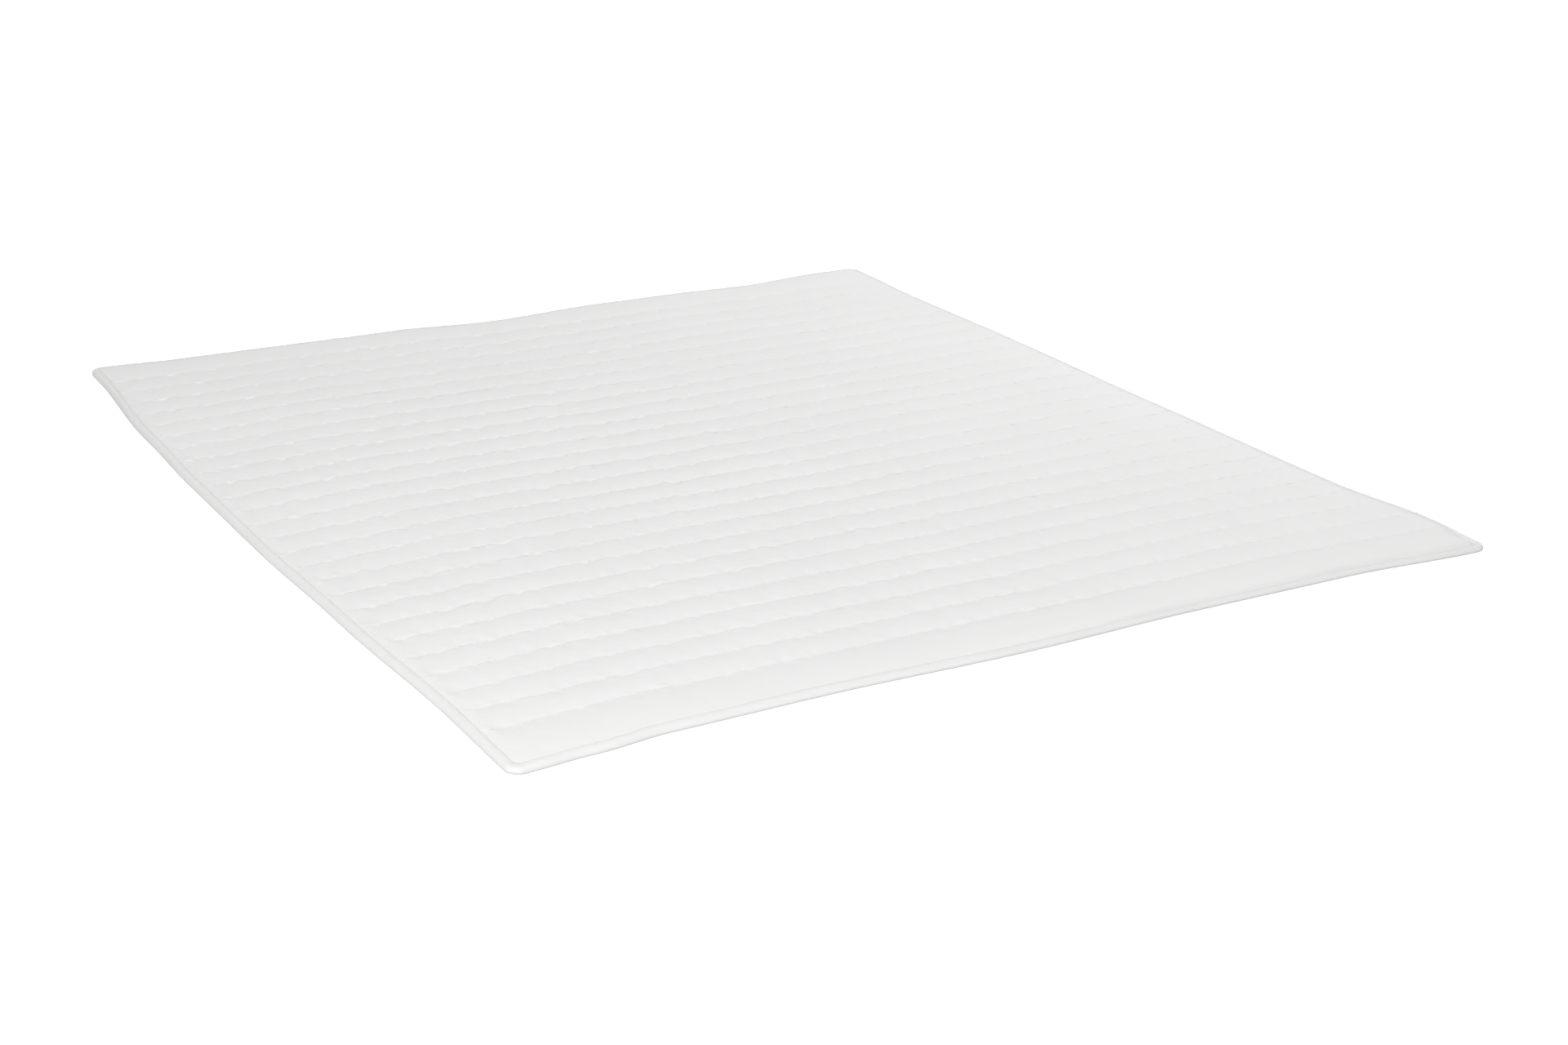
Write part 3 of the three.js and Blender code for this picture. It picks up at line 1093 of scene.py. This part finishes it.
class PAD_OT_edge_binding(bpy.types.Operator):
    """Makes the binding: one tape folded over the panel's cut edge all the way round"""

    bl_idname = "mattress_pad.edge_binding"
    bl_label = "Edge binding"

    def execute(self, context):
        scene = context.scene
        plan = PadPlan(scene.pad_sizes)
        random = np.random.default_rng(SEED + 1)
        run = plan.along_edge(0.0)[2]
        stations = len(run)
        piece = marked_grid(stations, len(TAPE_LINE) - 1)
        name_piece(piece, "binding")
        station = read_marks(piece.data, "column") % stations
        section = read_marks(piece.data, "row")
        whole = run[-1] + run[1]
        # The puckers die out where the tape's two ends meet
        puckers = ripple(run, random, *TAPE_PUCKER_LENGTHS) * np.sin(np.pi * run / whole) ** 0.1
        slack = ripple(run, random, *TAPE_SLACK_LENGTHS)
        spots = np.empty((len(station), 3))
        for number, (inset, soft, grooved) in enumerate(TAPE_LINE):
            there = section == number
            x, y, _ = plan.along_edge(inset)
            height = soft + (grooved - soft) * plan.grooved(x, y)
            x, y = plan.swung(x, y)
            on_top = np.clip((height - TAPE_WAVES_FROM) / TAPE_WAVES_RISE, 0, 1)
            raised = height + on_top * (TAPE_PUCKERS * puckers + TAPE_SLACK * slack)
            ring = np.stack([x, y, np.maximum(raised, 0)], 1)
            spots[there] = ring[station[there]]
        move_spots(piece.data, spots)
        take(piece)
        bpy.ops.object.mode_set(mode="EDIT")
        bpy.ops.mesh.select_all(action="SELECT")
        bpy.ops.mesh.remove_doubles(threshold=1e-5)
        bpy.ops.object.mode_set(mode="OBJECT")
        recalculate_normals(piece)
        for stitching, name in (
            (UPPER_STITCHING, "upper_binding_line"),
            (LOWER_STITCHING, "lower_binding_line"),
        ):
            ends = edge_ends(piece.data)
            sewn = (read_marks(piece.data, "row") == stitching)[ends].all(1)
            lift_off_line(piece, sewn, name)
        take(piece)
        thickness = piece.modifiers.new("Thickness", "SOLIDIFY")
        thickness.thickness = scene.pad_sizes.tape_thickness
        thickness.offset = -1
        thickness.use_even_offset = True
        bpy.ops.object.modifier_apply(modifier="Thickness")
        tape = twilled_tape(scene.pad_colours.tape, whole, width_of_tape())
        finish_piece(piece, tape)
        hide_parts("edge_binding")
        return {"FINISHED"}


def one_stitch(length, width):
    """One stitch that lies along Z: a thread with drawn-in ends."""
    deselect_all()
    end = width
    bpy.ops.mesh.primitive_cylinder_add(
        vertices=4,
        radius=width / 2,
        depth=length - 2 * end,
        end_fill_type="TRIFAN",
    )
    stitch = bpy.context.object
    name_piece(stitch, "stitch")
    spots = spots_of(stitch.data)
    in_middle = np.hypot(spots[:, 0], spots[:, 1]) < width / 10
    spots[in_middle, 2] += np.sign(spots[in_middle, 2]) * end
    move_spots(stitch.data, spots)
    bpy.ops.object.shade_smooth()
    return stitch


def sewing_nodes(stitch, pitch, lift):
    """Geometry nodes that lay one copy of a stitch after another along a line."""
    tree = bpy.data.node_groups.new("Sewing", "GeometryNodeTree")
    for way in ("INPUT", "OUTPUT"):
        tree.interface.new_socket("Geometry", in_out=way, socket_type="NodeSocketGeometry")
    line = add_node(tree, "NodeGroupInput").outputs["Geometry"]
    curve = add_node(tree, "GeometryNodeMeshToCurve", {"Mesh": line}).outputs["Curve"]
    holes = add_node(
        tree,
        "GeometryNodeCurveToPoints",
        {"Curve": curve, "Length": pitch},
        mode="LENGTH",
    )
    copied = add_node(tree, "GeometryNodeObjectInfo", {"Object": stitch}).outputs["Geometry"]
    pull = add_node(
        tree,
        "FunctionNodeRandomValue",
        {"Min": LEAST_PULL, "Max": MOST_PULL, "Seed": SEED},
        data_type="FLOAT_VECTOR",
    )
    row = add_node(
        tree,
        "GeometryNodeInstanceOnPoints",
        {
            "Points": holes.outputs["Points"],
            "Instance": copied,
            "Rotation": holes.outputs["Rotation"],
            "Scale": pull.outputs["Value"],
        },
    )
    sewn = add_node(
        tree, "GeometryNodeRealizeInstances", {"Geometry": row.outputs["Instances"]}
    )
    lifted = add_node(
        tree,
        "GeometryNodeSetPosition",
        {"Geometry": sewn.outputs["Geometry"], "Offset": (0, 0, lift)},
    )
    add_node(tree, "NodeGroupOutput", {"Geometry": lifted.outputs["Geometry"]})
    return tree


def sew(line_name, name, pitch, width, lift, material):
    """Turns a line into a row of stitches along it."""
    piece = bpy.data.objects.get(line_name)
    if piece is None:
        raise RuntimeError(f"there is no line named {line_name} to sew along")
    stitch = one_stitch(pitch * STITCH_SHARE, width)
    take(piece)
    modifier = piece.modifiers.new("Sewing", "NODES")
    modifier.node_group = sewing_nodes(stitch, pitch, lift)
    bpy.ops.object.modifier_apply(modifier="Sewing")
    name_piece(piece, name)
    piece.hide_render = False
    bpy.data.objects.remove(stitch)
    finish_piece(piece, material)
    return piece


class PAD_OT_seam_thread(bpy.types.Operator):
    """Sews the quilting seams, with stitches on the face cloth and on the backing"""

    bl_idname = "mattress_pad.seam_thread"
    bl_label = "Seam thread"

    def execute(self, context):
        sizes = context.scene.pad_sizes
        material = spun_thread(context.scene.pad_colours.thread)
        width = sizes.thread_width
        for line, name, lift in (
            ("face_seam_lines", "face_seam_thread", width / 3),
            ("backing_seam_lines", "backing_seam_thread", -width / 3),
        ):
            sew(line, name, sizes.stitch_pitch, width, lift, material)
        return {"FINISHED"}


class PAD_OT_binding_thread(bpy.types.Operator):
    bl_idname = "mattress_pad.binding_thread"
    bl_label = "Binding thread"

    def execute(self, context):
        sizes = context.scene.pad_sizes
        material = bpy.data.materials["spun_thread"]
        width = sizes.thread_width
        pitch = sizes.binding_stitch_pitch
        threads = [
            sew(line, name, pitch, width, lift, material)
            for line, name, lift in (
                ("upper_binding_line", "upper_binding_thread", width / 3),
                ("lower_binding_line", "lower_binding_thread", 0.0),
            )
        ]
        plan = PadPlan(sizes)
        return {"FINISHED"}


# The photograph's point of view
CAMERA_PLACE = Vector((-2.1177, -3.7876, 1.4990))
CAMERA_AZIMUTH = math.radians(-30.707)
CAMERA_ELEVATION = math.radians(20.559)
CAMERA_ROLL = math.radians(1.097)
CAMERA_LENS = 57.48  # mm, on a sensor 36 mm wide

FRONT_LAMP_PLACE = Vector((-3.9, -4.8, 4.9))
BACK_LAMP_PLACE = Vector((2.9, 3.1, 3.1))
SIDE_LAMP_PLACE = Vector((1.9, 0.0, 0.65))
LAMP_SIZE = 1.2
SIDE_LAMP_SIZE = 0.8
FLOOR_SIZE = 160.0
FLOOR_BELOW = 0.0004  # keeps the floor's face clear of the backing's


def add_lamp(name, place, size, power):
    """A soft square lamp that faces the middle of the pad."""
    deselect_all()
    turn = (-place).to_track_quat("-Z", "Y").to_euler()
    bpy.ops.object.light_add(type="AREA", location=place, rotation=turn)
    lamp = bpy.context.object
    lamp.name = name
    lamp.data.shape = "SQUARE"
    lamp.data.size = size
    lamp.data.energy = power
    lamp.visible_camera = False


def add_camera():
    """A camera at the photograph's place, angle and lens."""
    deselect_all()
    azimuth = CAMERA_AZIMUTH
    elevation = CAMERA_ELEVATION
    back = Vector(
        (
            math.sin(azimuth) * math.cos(elevation),
            -math.cos(azimuth) * math.cos(elevation),
            math.sin(elevation),
        )
    )
    turn = (-back).to_track_quat("-Z", "Y") @ Quaternion((0, 0, 1), CAMERA_ROLL)
    bpy.ops.object.camera_add(location=CAMERA_PLACE, rotation=turn.to_euler())
    camera = bpy.context.object
    camera.name = "camera"
    camera.data.sensor_width = 36
    camera.data.lens = CAMERA_LENS
    camera.data.clip_end = FLOOR_SIZE
    bpy.context.scene.camera = camera


class PAD_OT_stage(bpy.types.Operator):
    """Sets up the pale floor, the soft light and the camera"""

    bl_idname = "mattress_pad.stage"
    bl_label = "Stage"

    def execute(self, context):
        studio = context.scene.studio_light
        deselect_all()
        bpy.ops.mesh.primitive_plane_add(size=FLOOR_SIZE, location=(0, 0, -FLOOR_BELOW))
        floor = bpy.context.object
        name_piece(floor, "floor")
        bpy.ops.object.transform_apply(location=True)
        floor.data.materials.append(pale_floor(studio.floor_colour, studio.floor_glow))
        add_lamp("front_lamp", FRONT_LAMP_PLACE, LAMP_SIZE, studio.front_lamp)
        add_lamp("back_lamp", BACK_LAMP_PLACE, LAMP_SIZE, studio.back_lamp)
        add_lamp("side_lamp", SIDE_LAMP_PLACE, SIDE_LAMP_SIZE, studio.side_lamp)
        world = bpy.data.worlds.new("studio")
        world.use_nodes = True
        background = world.node_tree.nodes["Background"]
        background.inputs["Color"].default_value = (1, 1, 1, 1)
        background.inputs["Strength"].default_value = studio.room
        context.scene.world = world
        context.scene.view_settings.view_transform = "Standard"
        add_camera()
        return {"FINISHED"}


class PAD_PT_sidebar(bpy.types.Panel):
    """Lists the pad's sizes, colours and steps"""

    bl_idname = "PAD_PT_sidebar"
    bl_label = "Quilted mattress pad"
    bl_space_type = "VIEW_3D"
    bl_region_type = "UI"
    bl_category = "Mattress Pad"

    def draw(self, context):
        scene = context.scene
        for group in (scene.pad_sizes, scene.pad_swelling, scene.pad_colours, scene.studio_light):
            box = self.layout.box()
            for name in group.__annotations__:
                box.prop(group, name)
        for operator in OPERATORS:
            self.layout.operator(operator.bl_idname)


GROUPS = {
    "pad_sizes": PadSizes,
    "pad_swelling": PadSwelling,
    "pad_colours": PadColours,
    "studio_light": StudioLight,
}
OPERATORS = (
    PAD_OT_quilted_panel,
    PAD_OT_edge_binding,
    PAD_OT_seam_thread,
    PAD_OT_binding_thread,
    PAD_OT_stage,
)


def register():
    """Adds the property groups, the operators and the sidebar panel."""
    for name, group in GROUPS.items():
        bpy.utils.register_class(group)
        setattr(bpy.types.Scene, name, bpy.props.PointerProperty(type=group))
    for operator in OPERATORS:
        bpy.utils.register_class(operator)
    bpy.utils.register_class(PAD_PT_sidebar)


def unregister():
    """Takes them away again."""
    bpy.utils.unregister_class(PAD_PT_sidebar)
    for operator in reversed(OPERATORS):
        bpy.utils.unregister_class(operator)
    for name, group in reversed(GROUPS.items()):
        delattr(bpy.types.Scene, name)
        bpy.utils.unregister_class(group)


def main():
    """Builds the whole pad and its stage."""
    register()
    bpy.ops.mattress_pad.quilted_panel()
    bpy.ops.mattress_pad.edge_binding()
    bpy.ops.mattress_pad.seam_thread()
    bpy.ops.mattress_pad.binding_thread()
    bpy.ops.mattress_pad.stage()


if __name__ == "__main__":
    main()
